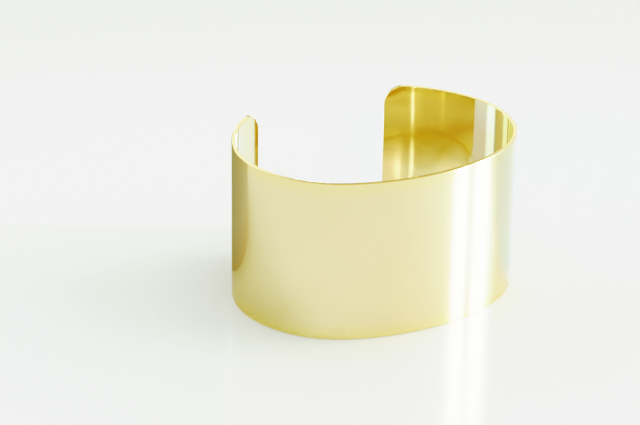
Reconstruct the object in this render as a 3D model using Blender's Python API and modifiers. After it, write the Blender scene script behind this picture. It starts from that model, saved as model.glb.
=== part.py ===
"""Cuff bracelet: one strip of brass sheet, bent to an open oval C. It stands on one
long edge. The opening is towards +Y and the front centre is on -Y. Sizes in metres."""

import math

import bpy

# The strip before bending.
BAND_WIDTH = 0.0381
SHEET = 0.0010
CORNER_RADIUS = 0.0050
EDGE_ROUND = 0.0002

# The outer curve in plan, from the middle of the front to one end: three arcs.
FRONT_RADIUS = 0.0500
FRONT_HALF_TURN = math.radians(21.9)
SIDE_RADIUS = 0.0245
SIDE_TURN = math.radians(92.5)
END_RADIUS = 0.0335
END_TURN = math.radians(36.5)

# How finely the curves are drawn.
FACET_TURN = math.radians(2.6)
CORNER_STEPS = 8
EDGE_STEPS = 2

BRASS_COLOR = (0.91, 0.78, 0.42, 1.0)
BRASS_ROUGHNESS = 0.12

ARCS = [
    (FRONT_RADIUS, FRONT_HALF_TURN),
    (SIDE_RADIUS, SIDE_TURN),
    (END_RADIUS, END_TURN),
]


def half_length():
    """Length along the outer face from the middle of the front to the end."""
    return sum(radius * turn for radius, turn in ARCS)


def point_on_curve(length):
    """The outer curve's X and Y at this length from the middle of the front."""
    x, y, heading = 0.0, 0.0, 0.0
    for radius, turn in ARCS:
        part = min(length / radius, turn)
        x += radius * (math.sin(heading + part) - math.sin(heading))
        y += radius * (math.cos(heading) - math.cos(heading + part))
        heading += part
        length -= radius * part
    return x, y


def corner_cut(from_end):
    """How much the rounded corner takes off the strip's edge, this far from its end."""
    inside = CORNER_RADIUS - min(from_end, CORNER_RADIUS)
    return CORNER_RADIUS - math.sqrt(CORNER_RADIUS**2 - inside**2)


def stations():
    """Lengths along the half strip where it has a row of vertices."""
    total = half_length()
    lengths = [0.0]
    for radius, turn in ARCS:
        steps = math.ceil(turn / FACET_TURN)
        start = lengths[-1]
        lengths += [start + radius * turn * step / steps for step in range(1, steps + 1)]
    straight = [length for length in lengths if length < total - 1.05 * CORNER_RADIUS]
    quarter = math.pi / 2
    angles = [quarter * step / CORNER_STEPS for step in range(CORNER_STEPS + 1)]
    rounded = [total - CORNER_RADIUS * (1 - math.sin(angle)) for angle in angles]
    return straight + rounded


def clear_scene():
    for obj in list(bpy.data.objects):
        bpy.data.objects.remove(obj)


def new_collection(name):
    collection = bpy.data.collections.new(name)
    bpy.context.scene.collection.children.link(collection)
    return collection


def brass():
    material = bpy.data.materials.new("polished_brass")
    material.use_nodes = True
    shader = material.node_tree.nodes["Principled BSDF"]
    shader.inputs["Base Color"].default_value = BRASS_COLOR
    shader.inputs["Metallic"].default_value = 1.0
    shader.inputs["Roughness"].default_value = BRASS_ROUGHNESS
    return material


def bent_half():
    """Half of the strip's outer face, as an open surface with its end corners rounded."""
    total = half_length()
    lengths = stations()
    low, high = [], []
    for length in lengths:
        x, y = point_on_curve(length)
        cut = corner_cut(total - length)
        low.append((x, y, cut))
        high.append((x, y, BAND_WIDTH - cut))
    count = len(lengths)
    faces = [(i, i + 1, count + i + 1, count + i) for i in range(count - 1)]
    mesh = bpy.data.meshes.new("cuff_band")
    mesh.from_pydata(low + high, [], faces)
    return mesh


def cuff_band(collection):
    band = bpy.data.objects.new("cuff_band", bent_half())
    collection.objects.link(band)
    band.data.materials.append(brass())

    mirror = band.modifiers.new("other_half", "MIRROR")
    mirror.use_axis = (True, False, False)
    mirror.use_clip = True
    mirror.merge_threshold = 0.00001

    thickness = band.modifiers.new("sheet", "SOLIDIFY")
    thickness.thickness = SHEET
    thickness.offset = -1.0
    thickness.use_even_offset = True

    edges = band.modifiers.new("rounded_edges", "BEVEL")
    edges.width = EDGE_ROUND
    edges.segments = EDGE_STEPS
    edges.limit_method = "ANGLE"
    edges.angle_limit = math.radians(40)

    for polygon in band.data.polygons:
        polygon.use_smooth = True
    return band


clear_scene()
centre_y = 0.5 * point_on_curve(half_length())[1]
band_object = cuff_band(new_collection("cuff_bracelet"))
band_object.location.y = -centre_y
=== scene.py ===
"""Looks of the cuff bracelet: the bent brass band, its polished metal, a pale table and
soft studio light. Sizes in metres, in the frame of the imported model."""

import math

import bpy
from mathutils import Matrix, Vector


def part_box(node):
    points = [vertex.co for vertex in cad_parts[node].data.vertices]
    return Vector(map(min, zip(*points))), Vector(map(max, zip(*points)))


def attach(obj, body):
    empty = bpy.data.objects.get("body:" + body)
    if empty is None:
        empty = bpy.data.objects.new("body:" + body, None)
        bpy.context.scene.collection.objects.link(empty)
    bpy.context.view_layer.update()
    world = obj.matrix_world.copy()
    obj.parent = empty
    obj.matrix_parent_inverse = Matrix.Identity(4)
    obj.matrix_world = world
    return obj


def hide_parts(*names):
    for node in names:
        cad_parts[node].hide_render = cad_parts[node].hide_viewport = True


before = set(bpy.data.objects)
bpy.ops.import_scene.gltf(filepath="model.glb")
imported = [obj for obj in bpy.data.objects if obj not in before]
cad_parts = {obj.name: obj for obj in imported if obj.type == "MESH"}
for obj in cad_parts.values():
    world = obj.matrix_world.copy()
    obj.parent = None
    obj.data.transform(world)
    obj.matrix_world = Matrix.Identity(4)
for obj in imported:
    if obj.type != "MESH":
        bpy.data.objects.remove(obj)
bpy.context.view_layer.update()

# The strip before bending, as in the source of the solids.
BAND_WIDTH = 0.0381
SHEET = 0.0010
CORNER_RADIUS = 0.0050
EDGE_ROUND = 0.00018
ARCS = [
    (0.0500, math.radians(21.9)),
    (0.0245, math.radians(92.5)),
    (0.0335, math.radians(36.5)),
]

# How finely the band is drawn.
COLUMN_STEP = 0.00045
ROWS = 16
CORNER_STEPS = 14
EDGE_STEPS = 5

# The camera, which stands at the picture's angle to the cuff.
PICTURE_WIDTH = 640
PICTURE_HEIGHT = 425
CAMERA_AZIMUTH = math.radians(-29.727)
CAMERA_ELEVATION = math.radians(24.682)
CAMERA_ROLL = math.radians(-0.8156)
CAMERA_DISTANCE = 0.55156
FOCAL_PIXELS = 2376.19
TARGET_PIXEL = (374.38, 209.70)
SENSOR_WIDTH = 36.0
NEAREST_SEEN = 0.01
FARTHEST_SEEN = 20.0

# The band's metal. The tones vary slowly over it and turn yellower near its long edges.
# A scale is about how many marks of a pattern fit in a metre.
BRASS_TONES = [(0.875, 0.745, 0.42, 1.0), (0.895, 0.77, 0.45, 1.0)]
BRASS_EDGE_TONE = (0.90, 0.77, 0.375, 1.0)
BRASS_EDGE_REACH = (0.0045, 0.0002)
BRASS_TONE_SCALE = 45.0
BRASS_ROUGHNESS = (0.035, 0.075)
SMUDGE_SCALE = 160.0
RUB_SCALE = (120.0, 6000.0, 1.0)
RUB_STRENGTH = 0.05
RUB_DEPTH = 0.00001
NOISE_SPREAD = (0.3, 0.7)

SQUARE = [(-1, -1), (1, -1), (1, 1), (-1, 1)]
TABLE_HALF = 6.0
TABLE_COLOR = (0.84, 0.845, 0.82, 1.0)
TABLE_ROUGHNESS = 0.12

# How the picture shows light: scene light against shown light, both linear.
FILM_WHITE = 8.0
FILM_POINTS = [
    (0.0, 0.0),
    (0.06, 0.006),
    (0.12, 0.03),
    (0.20, 0.09),
    (0.30, 0.19),
    (0.42, 0.33),
    (0.53, 0.445),
    (0.70, 0.57),
    (0.85, 0.66),
    (0.98, 0.73),
    (1.06, 0.775),
    (1.27, 0.868),
    (1.6, 0.912),
    (2.2, 0.95),
    (3.0, 0.972),
    (4.5, 0.986),
    (8.0, 0.996),
]

# The light round the set that shows in gloss alone, by azimuth in degrees.
ROOM = (0.50, 0.50, 0.50)
WARM_ROOM = (0.68, 0.60, 0.42)
RIM_ROOM = (1.75, 1.80, 1.60)
DARK_ROOM = (0.60, 0.50, 0.34)
SIDE_ROOM = (0.95, 1.05, 1.0)
RING_TONES = [
    (-180, ROOM),
    (-52, ROOM),
    (-40, (1.0, 1.1, 1.3)),
    (-25, (1.4, 2.0, 3.0)),
    (-20, (3.0, 3.5, 4.5)),
    (-16.3, (9.5, 9.0, 10.0)),
    (-12.8, (34.0, 32.0, 40.0)),
    (-10, (70.0, 75.0, 78.0)),
    (-8.2, (70.0, 75.0, 78.0)),
    (-6.5, (18.0, 23.0, 20.0)),
    (-4.6, (4.0, 7.0, 13.0)),
    (-3.4, (4.0, 7.0, 13.0)),
    (-1.2, (14.0, 18.0, 18.0)),
    (2, (55.0, 60.0, 62.0)),
    (7, (55.0, 60.0, 66.0)),
    (11, (12.0, 18.0, 17.0)),
    (15, (3.2, 7.0, 10.0)),
    (20, (1.2, 1.8, 2.6)),
    (27, SIDE_ROOM),
    (66, SIDE_ROOM),
    (72, WARM_ROOM),
    (91.2, WARM_ROOM),
    (92.4, RIM_ROOM),
    (107, RIM_ROOM),
    (113, (3.0, 2.6, 2.8)),
    (130, (3.0, 2.6, 2.8)),
    (145, ROOM),
    (180, ROOM),
]
RING_RADIUS = 1.5
RING_STEP = 0.5
RING_LOW_TONES = [
    (-180, (1.5, 1.5, 1.5)),
    (-30, (1.5, 1.5, 1.5)),
    (-15, (4.0, 4.2, 4.2)),
    (12, (4.0, 4.2, 4.2)),
    (27, (1.5, 1.5, 1.5)),
    (62, (1.5, 1.5, 1.5)),
    (72, DARK_ROOM),
    (130, DARK_ROOM),
    (150, (1.5, 1.5, 1.5)),
    (180, (1.5, 1.5, 1.5)),
]

# RING_TONES holds between the two heights of RING_MIDDLE. Beyond the opening, the part of
# it below RING_FAR_HEIGHT has its own tones.
RING_HEIGHTS = (0.0, 0.49, 0.56, 0.674, 0.684, 0.82, 0.95, 1.5)
RING_MIDDLE = (0.56, 0.82)
RING_FAR_HEIGHT = 0.68
RING_FAR_TONES = [(66, SIDE_ROOM), (72, RIM_ROOM), (107, RIM_ROOM), (113, (3.0, 2.6, 2.8))]
RING_TOP_TONE = (1.8, 1.8, 1.8)

# The ceiling, the window that lights the table, and the light from all round.
CEILING_HALF = 2.0
CEILING_TONE = (0.85, 0.78, 0.55)
WINDOW_AZIMUTH = 5.0
WINDOW_POWER = 8.0
WINDOW_SIDE = 0.8
WINDOW_DISTANCE = 1.2
WINDOW_HEIGHT = 0.85
WORLD_TONES = [
    (0.0, (0.90, 0.97, 0.95)),
    (0.5, (1.08, 1.16, 1.14)),
    (0.8, (1.53, 1.64, 1.61)),
    (1.0, (1.98, 2.12, 2.07)),
]

# How far light is followed.
MIRROR_BOUNCES = 32
DIFFUSE_BOUNCES = 6
CARD_BOUNCES = 16
BRIGHTEST_SAMPLE = 30.0

# Upright glowing cards behind the left end, seen only in reflections. They are painted
# shade, which gives the dark band there, and painted shade and light, which the inside of
# the right end repeats. The back card's low part ends at BACK_SHADE_LOW_TOP, with a tint
# below one azimuth, and is clear above it below another.
SHADE_CENTRE = (-0.0288, 0.0660, 0.0)
SIDE_SHADE_RADIUS = 0.0439
BACK_SHADE_RADIUS = 0.0412
SHADE_HEIGHTS = (0.0, 0.012, 0.045)
BACK_SHADE_HEIGHTS = (0.0, 0.010, 0.0210, 0.0214, 0.045)
BACK_SHADE_LOW_TOP = 0.0210
BACK_SHADE_TOP_TINT = (1.18, 1.35, 1.75)
BACK_SHADE_TINTED = -8
BACK_SHADE_CLEAR = -30
SHADE_FOOT_TINT = (0.96, 0.84, 0.64)
SHADE_TURN = 2
SIDE_SHADE_SPAN = (-150, -58)
BACK_SHADE_SPAN = (-56, 34)
SIDE_SHADE_TONES = [
    (-110, (0.86, 0.84, 0.78)),
    (-100, (0.78, 0.77, 0.70)),
    (-91, (0.72, 0.70, 0.62)),
    (-80, (0.63, 0.62, 0.52)),
    (-68, (0.53, 0.53, 0.38)),
    (-63, (0.49, 0.49, 0.32)),
]
BACK_SHADE_TONES = [
    (-50, (0.95, 0.95, 0.95)),
    (-23, (0.95, 0.95, 0.95)),
    (-20, (1.45, 2.0, 2.0)),
    (-9, (1.45, 2.0, 2.0)),
    (-7, (0.7, 0.7, 0.6)),
    (34, (0.7, 0.7, 0.6)),
]

# Narrow glowing cards behind the opening, seen only in reflections as painted highlight
# lines: rows of two points, each point its right, away and up with its light and cover.
HIGHLIGHT_LINE_CARDS = [
    [
        [(-0.0212, 0.045, 0.0120, (15, 18, 25, 1)), (-0.0135, 0.045, 0.0120, (15, 18, 25, 1))],
        [(-0.0211, 0.045, 0.0160, (15, 18, 25, 1)), (-0.0126, 0.045, 0.0160, (15, 18, 25, 1))],
        [(-0.0196, 0.045, 0.0291, (28, 36, 52, 1)), (-0.0094, 0.045, 0.0291, (28, 36, 52, 1))],
        [(-0.0167, 0.045, 0.0439, (10, 12, 13, 1)), (-0.0081, 0.045, 0.0439, (10, 12, 13, 1))],
    ],
    [
        [(-0.0446, 0.045, 0.0340, (2, 2, 3, 0)), (-0.0422, 0.045, 0.0340, (2, 2, 3, 0))],
        [(-0.0446, 0.045, 0.0380, (4, 5, 6, 1)), (-0.0422, 0.045, 0.0380, (4, 5, 6, 1))],
        [(-0.0446, 0.045, 0.0429, (14, 16, 20, 1)), (-0.0422, 0.045, 0.0429, (14, 16, 20, 1))],
        [(-0.0446, 0.045, 0.0475, (26, 24, 30, 1)), (-0.0422, 0.045, 0.0475, (26, 24, 30, 1))],
    ],
]

# Soft shade and sheen on the table that show in the metal alone. A box is the least and
# most right, then the least and most away; each card has its own small lift. A ramp is
# where a cover starts and where it is full.
OUTER_SHADE_TONE = (0.65, 0.60, 0.40)
OUTER_SHADE_BOX = (-0.126, -0.006, -0.052, 0.030)
OUTER_SHADE_LIFT = 0.0002
SIDE_COVER = 0.75
SIDE_FADE = 0.009
BAND_COVER = 0.55
BAND_FADE = 0.016
OUTER_SHADE_RAMP = (-0.014, -0.030)
OUTER_SHADE_EDGES = (-0.096, -0.032)
INNER_SHADE_TONE = (0.64, 0.50, 0.08)
INNER_SHADE_BOX = (-0.040, 0.030, -0.034, 0.020)
INNER_SHADE_LIFT = 0.0004
FOOT_LINE_COVER = 0.48
FOOT_LINE_RAMPS = [(-0.018, -0.034), (-0.066, -0.056)]
FOOT_LINE_WIDTH = 0.006
PATCH_COVER = 0.58
PATCH_LENGTH = (-0.0555, 0.009)
PATCH_DISTANCE = (0.009, 0.008)

# A low card that leans up towards the front, with painted shade for the deep tone above
# that foot. Each of its columns runs from the foot towards one point, and each step is how
# far from the foot the light that the card stops would land. It is densest and widest round
# FOOT_MIDDLE, as lengths along the foot.
FOOT_FOCUS = (0.0045, 0.0160)
FOOT_REACH = 0.030
FOOT_SLOPE = 0.42
FOOT_STEPS = (-0.003, 0.0, 0.003, 0.006, 0.009, 0.012, 0.015, 0.018, 0.021, 0.024)
FOOT_SHADE_TONE = (0.70, 0.52, 0.08)
FOOT_LENGTHS = [-0.078 + 0.002 * step for step in range(44)]
FOOT_MIDDLE = (-0.034, 0.018)
FOOT_COVER = (0.50, 0.37)
FOOT_RIGHT_RAMP = (0.008, -0.008)
FOOT_LEFT_RAMP = (-0.040, -0.056)
FOOT_WIDTH = (0.011, 0.014)
FOOT_FULL = 0.004
FOOT_FALL = 0.8

# The sheen on the table, by azimuth round a point inside the band.
SHEEN_TONES = [(30.0, (1.14, 1.38, 1.60)), (60.0, (1.32, 1.56, 1.84))]
SHEEN_BOX = (-0.020, 0.160, -0.020, 0.130)
SHEEN_LIFT = 0.0006
SHEEN_COVER = 0.85
SHEEN_EDGES = (0.0, 0.120, -0.010, 0.095)
SHEEN_TURN = 12.0
SHEEN_CENTRE = 0.018
SHEEN_INSIDE_END = 0.030
SHADE_STEP = 0.002
CURVE_STEPS = 120

# Directions on the table as the camera sees them.
RIGHT = Vector((math.cos(CAMERA_AZIMUTH), math.sin(CAMERA_AZIMUTH), 0.0))
AWAY = Vector((-math.sin(CAMERA_AZIMUTH), math.cos(CAMERA_AZIMUTH), 0.0))


def half_length():
    """Length along the outer face from the middle of the front to the end."""
    return sum(radius * turn for radius, turn in ARCS)


def on_curve(length):
    """X, Y and heading of the outer curve at this signed length from the front's middle."""
    side = -1.0 if length < 0 else 1.0
    left = abs(length)
    x, y, heading = 0.0, 0.0, 0.0
    for radius, turn in ARCS:
        part = min(left / radius, turn)
        x += radius * (math.sin(heading + part) - math.sin(heading))
        y += radius * (math.cos(heading) - math.cos(heading + part))
        heading += part
        left -= radius * part
    return side * x, y, side * heading


def column_list():
    """The columns of the strip from its left end to its right end. Each one is a side,
    a length from the middle and an angle round the corner, which is None between them."""
    straight_half = half_length() - CORNER_RADIUS
    steps = math.ceil(straight_half / COLUMN_STEP)
    straight = [(1.0, straight_half * step / steps, None) for step in range(steps)]
    rounded = [
        (1.0, straight_half, 0.5 * math.pi * step / CORNER_STEPS)
        for step in range(CORNER_STEPS + 1)
    ]
    right = straight + rounded
    left = [(-1.0, length, angle) for _, length, angle in reversed(right[1:])]
    return left + right


def column_ends(column, inset):
    """Length, lowest z and highest z of a column on the outline drawn this far inside."""
    side, length, angle = column
    if angle is None:
        return side * length, inset, BAND_WIDTH - inset
    radius = CORNER_RADIUS - inset
    low = CORNER_RADIUS - radius * math.cos(angle)
    return side * (length + radius * math.sin(angle)), low, BAND_WIDTH - low


def outline_way(column, row):
    """The direction out of the flat strip's outline there, as length and z."""
    side, _, angle = column
    lift = -1.0 if row == 0 else 1.0
    if angle is None:
        return 0.0, lift
    if row not in (0, ROWS):
        return side, 0.0
    return side * math.sin(angle), lift * math.cos(angle)


def bent(length, z, depth, front_y):
    """The point of the bent band at this place of the flat strip, this deep under the
    outer face, with the outer face's normal and the way along the strip."""
    x, y, heading = on_curve(length)
    outward = Vector((math.sin(heading), -math.cos(heading), 0.0))
    along = Vector((math.cos(heading), math.sin(heading), 0.0))
    return Vector((x, y + front_y, z)) - outward * depth, outward, along


def edge_profile():
    """Inset, depth and the two parts of the normal along the rounded edge, from the outer
    face to the inner one."""
    profile = []
    for step in range(EDGE_STEPS + 1):
        angle = 0.5 * math.pi * step / EDGE_STEPS
        inset = EDGE_ROUND * (1 - math.sin(angle))
        depth = EDGE_ROUND * (1 - math.cos(angle))
        profile.append((inset, depth, math.cos(angle), math.sin(angle)))
    inner = [(inset, SHEET - depth, -face, out) for inset, depth, face, out in reversed(profile)]
    return profile + inner


def band_mesh(front_y):
    """The bent band as one closed mesh with smooth sides and rounded edges. Each vertex
    keeps its place on the flat strip, for the metal's pattern."""
    columns = column_list()
    count = len(columns)
    profile = edge_profile()
    points, normals, places = [], [], []

    def add(column, row, inset, depth, face_part, out_part):
        length, low, high = column_ends(column, inset)
        z = low + (high - low) * row / ROWS
        point, outward, along = bent(length, z, depth, front_y)
        way = outline_way(column, row)
        out = along * way[0] + Vector((0.0, 0.0, way[1]))
        points.append(point)
        normals.append((outward * face_part + out * out_part).normalized())
        places.append((length, z, depth))
        return len(points) - 1

    def sheet_grid(level):
        inset, depth, face_part, _ = profile[level]
        return [
            [add(column, row, inset, depth, face_part, 0.0) for row in range(ROWS + 1)]
            for column in columns
        ]

    outer = sheet_grid(0)
    inner = sheet_grid(len(profile) - 1)
    faces = []
    for i in range(count - 1):
        for j in range(ROWS):
            a, b = outer[i], outer[i + 1]
            faces.append((a[j], b[j], b[j + 1], a[j + 1]))
            a, b = inner[i], inner[i + 1]
            faces.append((a[j], a[j + 1], b[j + 1], b[j]))

    border = [(i, 0) for i in range(count)]
    border += [(count - 1, j) for j in range(1, ROWS + 1)]
    border += [(i, ROWS) for i in range(count - 2, -1, -1)]
    border += [(0, j) for j in range(ROWS - 1, 0, -1)]
    rings = [[outer[i][j] for i, j in border]]
    for level in range(1, len(profile) - 1):
        rings.append([add(columns[i], j, *profile[level]) for i, j in border])
    rings.append([inner[i][j] for i, j in border])
    for upper, lower in zip(rings, rings[1:]):
        for k in range(len(border)):
            n = (k + 1) % len(border)
            faces.append((upper[k], lower[k], lower[n], upper[n]))

    mesh = bpy.data.meshes.new("cuff_polished_band")
    mesh.from_pydata(points, [], faces)
    place = mesh.attributes.new("strip_place", "FLOAT_VECTOR", "POINT")
    place.data.foreach_set("vector", [number for triple in places for number in triple])
    mesh.polygons.foreach_set("use_smooth", [True] * len(mesh.polygons))
    mesh.update()
    mesh.normals_split_custom_set_from_vertices(normals)
    return mesh


def node(tree, kind, **settings):
    """A new node with these settings."""
    made = tree.nodes.new(kind)
    for name, value in settings.items():
        setattr(made, name, value)
    return made


def new_material(name):
    """A material with its node tree and its shader."""
    material = bpy.data.materials.new(name)
    material.use_nodes = True
    return material, material.node_tree, material.node_tree.nodes["Principled BSDF"]


def brass_material():
    """Polished brass: slow changes of tone, small smudges and very fine rubbing marks that
    run along the strip."""
    material, tree, shader = new_material("cuff_brass")
    link = tree.links.new
    place = node(tree, "ShaderNodeAttribute", attribute_name="strip_place")

    tone = node(tree, "ShaderNodeTexNoise")
    tone.inputs["Scale"].default_value = BRASS_TONE_SCALE
    tone.inputs["Detail"].default_value = 3.0
    link(place.outputs["Vector"], tone.inputs["Vector"])
    tones = node(tree, "ShaderNodeValToRGB")
    for stop, at, color in zip(tones.color_ramp.elements, NOISE_SPREAD, BRASS_TONES):
        stop.position = at
        stop.color = color
    link(tone.outputs["Fac"], tones.inputs["Fac"])

    parts = node(tree, "ShaderNodeSeparateXYZ")
    link(place.outputs["Vector"], parts.inputs["Vector"])
    middle = node(tree, "ShaderNodeMath", operation="SUBTRACT")
    middle.inputs[1].default_value = BAND_WIDTH / 2
    link(parts.outputs["Y"], middle.inputs[0])
    off_middle = node(tree, "ShaderNodeMath", operation="ABSOLUTE")
    link(middle.outputs["Value"], off_middle.inputs[0])
    near_edge = node(tree, "ShaderNodeMapRange", interpolation_type="SMOOTHSTEP")
    near_edge.inputs["From Min"].default_value = BAND_WIDTH / 2 - BRASS_EDGE_REACH[0]
    near_edge.inputs["From Max"].default_value = BAND_WIDTH / 2 - BRASS_EDGE_REACH[1]
    link(off_middle.outputs["Value"], near_edge.inputs["Value"])
    edge_tint = node(tree, "ShaderNodeMix", data_type="RGBA")
    link(near_edge.outputs["Result"], edge_tint.inputs["Factor"])
    link(tones.outputs["Color"], edge_tint.inputs["A"])
    edge_tint.inputs["B"].default_value = BRASS_EDGE_TONE
    link(edge_tint.outputs["Result"], shader.inputs["Base Color"])

    stretch = node(tree, "ShaderNodeMapping")
    stretch.inputs["Scale"].default_value = RUB_SCALE
    link(place.outputs["Vector"], stretch.inputs["Vector"])
    lines = node(tree, "ShaderNodeTexNoise")
    lines.inputs["Scale"].default_value = 1.0
    lines.inputs["Detail"].default_value = 2.0
    link(stretch.outputs["Vector"], lines.inputs["Vector"])

    smudge = node(tree, "ShaderNodeTexNoise")
    smudge.inputs["Scale"].default_value = SMUDGE_SCALE
    smudge.inputs["Detail"].default_value = 4.0
    link(place.outputs["Vector"], smudge.inputs["Vector"])
    rough = node(tree, "ShaderNodeMapRange")
    rough.inputs["From Min"].default_value = NOISE_SPREAD[0]
    rough.inputs["From Max"].default_value = NOISE_SPREAD[1]
    rough.inputs["To Min"].default_value = BRASS_ROUGHNESS[0]
    rough.inputs["To Max"].default_value = BRASS_ROUGHNESS[1]
    link(smudge.outputs["Fac"], rough.inputs["Value"])
    link(rough.outputs["Result"], shader.inputs["Roughness"])

    bump = node(tree, "ShaderNodeBump")
    bump.inputs["Strength"].default_value = RUB_STRENGTH
    bump.inputs["Distance"].default_value = RUB_DEPTH
    link(lines.outputs["Fac"], bump.inputs["Height"])
    link(bump.outputs["Normal"], shader.inputs["Normal"])
    shader.inputs["Metallic"].default_value = 1.0
    return material


def table_material():
    material, _, shader = new_material("studio_table")
    shader.inputs["Base Color"].default_value = TABLE_COLOR
    shader.inputs["Roughness"].default_value = TABLE_ROUGHNESS
    shader.inputs["Specular IOR Level"].default_value = 0.5
    return material


def glow_material(name):
    """Shines with the tone stored at each point of a card."""
    material, tree, shader = new_material(name)
    tree.nodes.remove(shader)
    tone = node(tree, "ShaderNodeAttribute", attribute_name="tone")
    glow = node(tree, "ShaderNodeEmission")
    clear = node(tree, "ShaderNodeBsdfTransparent")
    cover = node(tree, "ShaderNodeMixShader")
    tree.links.new(tone.outputs["Color"], glow.inputs["Color"])
    tree.links.new(tone.outputs["Alpha"], cover.inputs[0])
    tree.links.new(clear.outputs["BSDF"], cover.inputs[1])
    tree.links.new(glow.outputs["Emission"], cover.inputs[2])
    output = tree.nodes["Material Output"]
    tree.links.new(cover.outputs["Shader"], output.inputs["Surface"])
    return material


def link_object(name, mesh, material):
    obj = bpy.data.objects.new(name, mesh)
    bpy.context.scene.collection.objects.link(obj)
    obj.data.materials.append(material)
    return obj


def flat_mesh(name, corners):
    mesh = bpy.data.meshes.new(name)
    mesh.from_pydata(corners, [], [tuple(range(len(corners)))])
    return mesh


def plan_way(azimuth):
    """The level direction at this azimuth in degrees: 0 is the picture's right, 90 is
    away from the camera."""
    angle = math.radians(azimuth)
    return RIGHT * math.cos(angle) + AWAY * math.sin(angle)


def hide_from_table(card):
    """A card that only shows as a reflection: it casts no shadow and lights nothing else."""
    card.visible_camera = False
    card.visible_diffuse = False
    card.visible_shadow = False
    return card


def tone_card(name, material, rows, tones):
    """A card of rows of points, each with the colour of its light and its cover."""
    across = len(rows[0])
    faces = []
    for i in range(len(rows) - 1):
        for j in range(across - 1):
            k = i * across + j
            faces.append((k, k + 1, k + across + 1, k + across))
    mesh = bpy.data.meshes.new(name)
    mesh.from_pydata([point for row in rows for point in row], [], faces)
    tone = mesh.attributes.new("tone", "FLOAT_COLOR", "POINT")
    flat = [part for row in tones for color in row for part in [*color, 1.0][:4]]
    tone.data.foreach_set("color", flat)
    return hide_from_table(link_object(name, mesh, material))


def upright_wall(name, material, centre, radius, azimuths, heights, tone_at):
    """A curved upright card round a centre, with its tone at each azimuth and height."""
    rows, tones = [], []
    for height in heights:
        rows.append([centre + plan_way(a) * radius + Vector((0, 0, height)) for a in azimuths])
        tones.append([tone_at(a, height) for a in azimuths])
    return tone_card(name, material, rows, tones)


def read_tones(table, where):
    """The tone at this place, between the rows of a table of places and tones."""
    if where <= table[0][0]:
        return table[0][1]
    for (a, low), (b, high) in zip(table, table[1:]):
        if where <= b:
            share = (where - a) / (b - a)
            return [p + (q - p) * share for p, q in zip(low, high)]
    return table[-1][1]


def ring_tone(azimuth, height):
    """The ring's tone there: the window and the sides stand at the middle heights."""
    if height < RING_MIDDLE[0]:
        return read_tones(RING_LOW_TONES, azimuth)
    if height > RING_MIDDLE[1]:
        return RING_TOP_TONE
    if height < RING_FAR_HEIGHT and RING_FAR_TONES[0][0] < azimuth < RING_FAR_TONES[-1][0]:
        return read_tones(RING_FAR_TONES, azimuth)
    return read_tones(RING_TONES, azimuth)


def ramp(value, start, end):
    """0 at the start, 1 at the end and straight between them."""
    return min(1.0, max(0.0, (value - start) / (end - start)))


def swell(value, middle, width):
    """1 at the middle, falling off smoothly on both sides."""
    return math.exp(-(((value - middle) / width) ** 2))


def side_shade_tone(azimuth, height):
    """The side card's painted shade there, warmer at its foot."""
    tone = read_tones(SIDE_SHADE_TONES, azimuth)
    if height == 0:
        return [part * tint for part, tint in zip(tone, SHADE_FOOT_TINT)]
    return tone


def back_shade_tone(azimuth, height):
    """The back card's painted shade and light there, lighter where its low part ends, with its
    cover where it is clear."""
    tone = read_tones(BACK_SHADE_TONES, azimuth)
    if height == BACK_SHADE_LOW_TOP and azimuth < BACK_SHADE_TINTED:
        return [part * tint for part, tint in zip(tone, BACK_SHADE_TOP_TINT)]
    if height > BACK_SHADE_LOW_TOP and azimuth < BACK_SHADE_CLEAR:
        return (*tone, 0.0)
    return tone


def curve_points(depth):
    """Points of the band in plan, this deep under its outer face, as right and away."""
    total = half_length()
    lengths = [total * step / CURVE_STEPS for step in range(-CURVE_STEPS, CURVE_STEPS + 1)]
    points = [bent(length, 0.0, depth, band_low.y)[0] for length in lengths]
    return [(point.dot(RIGHT), point.dot(AWAY), length) for point, length in zip(points, lengths)]


def nearest(points, right, away):
    """Distance from the curve and the length along it of its nearest point."""
    return min((math.hypot(x - right, y - away), length) for x, y, length in points)


def outer_shade(right, away):
    """The shade on the table between the left end and the side card."""
    centre = Vector(SHADE_CENTRE)
    side = math.hypot(right - centre.dot(RIGHT), away - centre.dot(AWAY)) - SIDE_SHADE_RADIUS
    band = nearest(outer_curve, right, away)[0]
    if nearest(inner_curve, right, away)[0] < band:
        return (*OUTER_SHADE_TONE, 0.0)
    near_side = SIDE_COVER * math.exp(-max(side, 0.0) / SIDE_FADE)
    near_band = BAND_COVER * math.exp(-band / BAND_FADE)
    taper = ramp(right, *OUTER_SHADE_RAMP)
    edges = ramp(right, OUTER_SHADE_BOX[0], OUTER_SHADE_EDGES[0])
    edges *= ramp(away, OUTER_SHADE_BOX[2], OUTER_SHADE_EDGES[1])
    return (*OUTER_SHADE_TONE, min(1.0, near_side + near_band) * taper * edges)


def inner_shade(right, away):
    """The shade on the table along the foot of the front, inside the band."""
    distance, length = nearest(inner_curve, right, away)
    along_foot = FOOT_LINE_COVER * ramp(distance, FOOT_LINE_WIDTH, 0.0)
    for span in FOOT_LINE_RAMPS:
        along_foot *= ramp(length, *span)
    patch = PATCH_COVER * swell(length, *PATCH_LENGTH) * swell(distance, *PATCH_DISTANCE)
    cover = 1.0 - (1.0 - along_foot) * (1.0 - patch)
    if nearest(outer_curve, right, away)[0] < distance:
        cover = 0.0
    return (*INNER_SHADE_TONE, cover)


def foot_cover(length, landing):
    """The leaning card's cover, by length along the foot and step away from it."""
    middle = swell(length, *FOOT_MIDDLE)
    dense = FOOT_COVER[0] * ramp(length, *FOOT_RIGHT_RAMP) + FOOT_COVER[1] * middle
    if landing < 0:
        return dense * ramp(length, *FOOT_LEFT_RAMP)
    reach = FOOT_WIDTH[0] + FOOT_WIDTH[1] * middle
    return dense * ramp(landing, reach, FOOT_FULL * middle) ** FOOT_FALL


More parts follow.
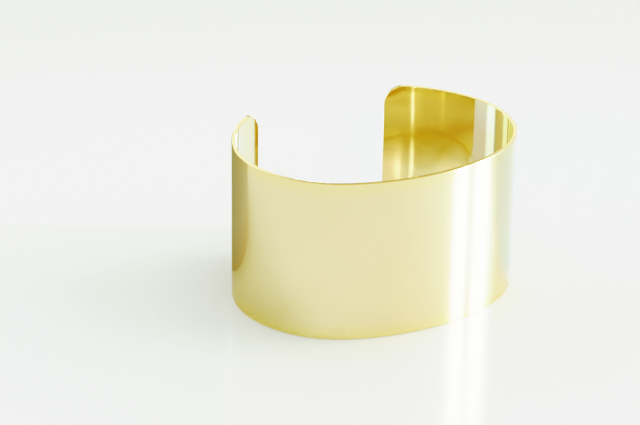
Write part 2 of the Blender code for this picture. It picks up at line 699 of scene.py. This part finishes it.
def foot_card(name, material):
    """The low leaning card of painted shade along the foot of the front, inside the band."""
    focus = RIGHT * FOOT_FOCUS[0] + AWAY * FOOT_FOCUS[1]
    feet = [bent(at, 0.0, SHEET, band_low.y)[0] for at in FOOT_LENGTHS]
    rows, tones = [], []
    for landing in FOOT_STEPS:
        inwards = 0.5 * (FOOT_REACH + landing)
        lift = Vector((0.0, 0.0, FOOT_SLOPE * (FOOT_REACH - inwards)))
        rows.append([foot + (focus - foot).normalized() * inwards + lift for foot in feet])
        tones.append([(*FOOT_SHADE_TONE, foot_cover(at, landing)) for at in FOOT_LENGTHS])
    return tone_card(name, material, rows, tones)


def sheen(right, away):
    """The cool sheen on the table beyond the right side and the opening."""
    distance, _ = nearest(outer_curve, right, away)
    turn = math.degrees(math.atan2(away, right - SHEEN_CENTRE))
    cover = SHEEN_COVER * ramp(turn, 0.0, SHEEN_TURN)
    for at, start, end in zip((right, right, away, away), SHEEN_BOX, SHEEN_EDGES):
        cover *= ramp(at, start, end)
    inside = nearest(inner_curve, right, away)[0] < distance
    if away < SHEEN_INSIDE_END and inside:
        cover = 0.0
    return (*read_tones(SHEEN_TONES, turn), cover)


def floor_card(name, material, box, lift, paint):
    """A level card just over the table, with its tone and cover at each point."""
    rights = [box[0] + SHADE_STEP * i for i in range(round((box[1] - box[0]) / SHADE_STEP) + 1)]
    aways = [box[2] + SHADE_STEP * i for i in range(round((box[3] - box[2]) / SHADE_STEP) + 1)]
    rows = [[RIGHT * x + AWAY * y + Vector((0, 0, lift)) for x in rights] for y in aways]
    return tone_card(name, material, rows, [[paint(x, y) for x in rights] for y in aways])


def add_window_light():
    """Soft light from the right of the picture, which only shows as light on the table."""
    data = bpy.data.lights.new("window_light", "AREA")
    data.shape = "RECTANGLE"
    data.size = WINDOW_SIDE
    data.size_y = WINDOW_SIDE
    data.energy = WINDOW_POWER
    light = bpy.data.objects.new("window_light", data)
    bpy.context.scene.collection.objects.link(light)
    level = plan_way(WINDOW_AZIMUTH) * WINDOW_DISTANCE
    light.location = level + Vector((0.0, 0.0, WINDOW_HEIGHT))
    light.rotation_mode = "QUATERNION"
    light.rotation_quaternion = light.location.to_track_quat("Z", "Y")
    light.visible_glossy = False
    light.visible_camera = False


def add_camera(target):
    """The camera, with the target at its place in the picture."""
    a, e, r = CAMERA_AZIMUTH, CAMERA_ELEVATION, CAMERA_ROLL
    back = Vector((math.sin(a) * math.cos(e), -math.cos(a) * math.cos(e), math.sin(e)))
    right = Vector((math.cos(a), math.sin(a), 0.0))
    up = back.cross(right)
    across = right * math.cos(r) - up * math.sin(r)
    upward = right * math.sin(r) + up * math.cos(r)
    scale = CAMERA_DISTANCE / FOCAL_PIXELS
    eye = (
        target
        + back * CAMERA_DISTANCE
        - across * (TARGET_PIXEL[0] - PICTURE_WIDTH / 2) * scale
        + upward * (TARGET_PIXEL[1] - PICTURE_HEIGHT / 2) * scale
    )
    data = bpy.data.cameras.new("picture_camera")
    data.sensor_width = SENSOR_WIDTH
    data.lens = FOCAL_PIXELS / PICTURE_WIDTH * SENSOR_WIDTH
    data.clip_start = NEAREST_SEEN
    data.clip_end = FARTHEST_SEEN
    camera = bpy.data.objects.new("picture_camera", data)
    bpy.context.scene.collection.objects.link(camera)
    turn = Matrix((across, upward, back)).transposed().to_4x4()
    camera.matrix_world = Matrix.Translation(eye) @ turn
    bpy.context.scene.camera = camera


def add_world():
    """Light from all round, strongest overhead, read off WORLD_TONES by height."""
    world = bpy.data.worlds.new("studio_air")
    world.use_nodes = True
    tree = world.node_tree
    way = node(tree, "ShaderNodeTexCoord")
    parts = node(tree, "ShaderNodeSeparateXYZ")
    tones = node(tree, "ShaderNodeValToRGB")
    tones.color_ramp.elements[0].position = WORLD_TONES[0][0]
    tones.color_ramp.elements[1].position = WORLD_TONES[-1][0]
    for place, _ in WORLD_TONES[1:-1]:
        tones.color_ramp.elements.new(place)
    for element, (_, tone) in zip(tones.color_ramp.elements, WORLD_TONES):
        element.color = (*tone, 1.0)
    tree.links.new(way.outputs["Generated"], parts.inputs["Vector"])
    tree.links.new(parts.outputs["Z"], tones.inputs["Fac"])
    shader = tree.nodes["Background"]
    tree.links.new(tones.outputs["Color"], shader.inputs["Color"])
    bpy.context.scene.world = world


def set_bounces():
    """Enough mirror bounces for light that runs round inside the band."""
    cycles = bpy.context.scene.cycles
    cycles.max_bounces = MIRROR_BOUNCES
    cycles.glossy_bounces = MIRROR_BOUNCES
    cycles.diffuse_bounces = DIFFUSE_BOUNCES
    cycles.transparent_max_bounces = CARD_BOUNCES
    cycles.sample_clamp_indirect = BRIGHTEST_SAMPLE


def set_film():
    """A bright film response: dark tones go deeper and light ones roll off to white."""
    settings = bpy.context.scene.view_settings
    settings.view_transform = "Standard"
    settings.use_curve_mapping = True
    mapping = settings.curve_mapping
    mapping.white_level = (FILM_WHITE, FILM_WHITE, FILM_WHITE)
    mapping.use_clip = False
    curve = mapping.curves[3]
    curve.points[0].location = FILM_POINTS[0]
    curve.points[1].location = FILM_POINTS[-1]
    for light, shown in FILM_POINTS[1:-1]:
        curve.points.new(light / FILM_WHITE, shown)
    curve.points[-1].location = (1.0, FILM_POINTS[-1][1])
    mapping.update()


add_camera(Vector((0.0, 0.0, BAND_WIDTH / 2)))

band_low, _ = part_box("cuff_band")
band = link_object("cuff_polished_band", band_mesh(band_low.y), brass_material())
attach(band, "root")
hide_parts("cuff_band")

table_corners = [(TABLE_HALF * x, TABLE_HALF * y, 0) for x, y in SQUARE]
table = link_object(
    "studio_table",
    flat_mesh("studio_table", table_corners),
    table_material(),
)
glow = glow_material("studio_glow")
ring = upright_wall(
    "studio_ring",
    glow,
    Vector((0.0, 0.0, 0.0)),
    RING_RADIUS,
    [-180 + RING_STEP * step for step in range(round(360 / RING_STEP) + 1)],
    RING_HEIGHTS,
    ring_tone,
)
ceiling = tone_card(
    "studio_ceiling",
    glow,
    [
        [Vector((x, y, RING_HEIGHTS[-1])) for x in (-CEILING_HALF, CEILING_HALF)]
        for y in (-CEILING_HALF, CEILING_HALF)
    ],
    [[CEILING_TONE] * 2] * 2,
)
side_shade = upright_wall(
    "studio_side_shade",
    glow,
    Vector(SHADE_CENTRE),
    SIDE_SHADE_RADIUS,
    list(range(SIDE_SHADE_SPAN[0], SIDE_SHADE_SPAN[1] + 1, SHADE_TURN)),
    SHADE_HEIGHTS,
    side_shade_tone,
)
back_shade = upright_wall(
    "studio_back_shade",
    glow,
    Vector(SHADE_CENTRE),
    BACK_SHADE_RADIUS,
    list(range(BACK_SHADE_SPAN[0], BACK_SHADE_SPAN[1] + 1, SHADE_TURN)),
    BACK_SHADE_HEIGHTS,
    back_shade_tone,
)
highlight_line_cards = [
    tone_card(
        f"studio_highlight_line_{number}",
        glow,
        [[RIGHT * x + AWAY * y + Vector((0, 0, z)) for x, y, z, _ in row] for row in rows],
        [[tone for *_, tone in row] for row in rows],
    )
    for number, rows in enumerate(HIGHLIGHT_LINE_CARDS, 1)
]
outer_curve = curve_points(0.0)
inner_curve = curve_points(SHEET)
shades = [
    floor_card("studio_outer_shade", glow, OUTER_SHADE_BOX, OUTER_SHADE_LIFT, outer_shade),
    floor_card("studio_inner_shade", glow, INNER_SHADE_BOX, INNER_SHADE_LIFT, inner_shade),
    floor_card("studio_sheen", glow, SHEEN_BOX, SHEEN_LIFT, sheen),
    foot_card("studio_foot_shade", glow),
]
add_window_light()
add_world()
set_bounces()
set_film()
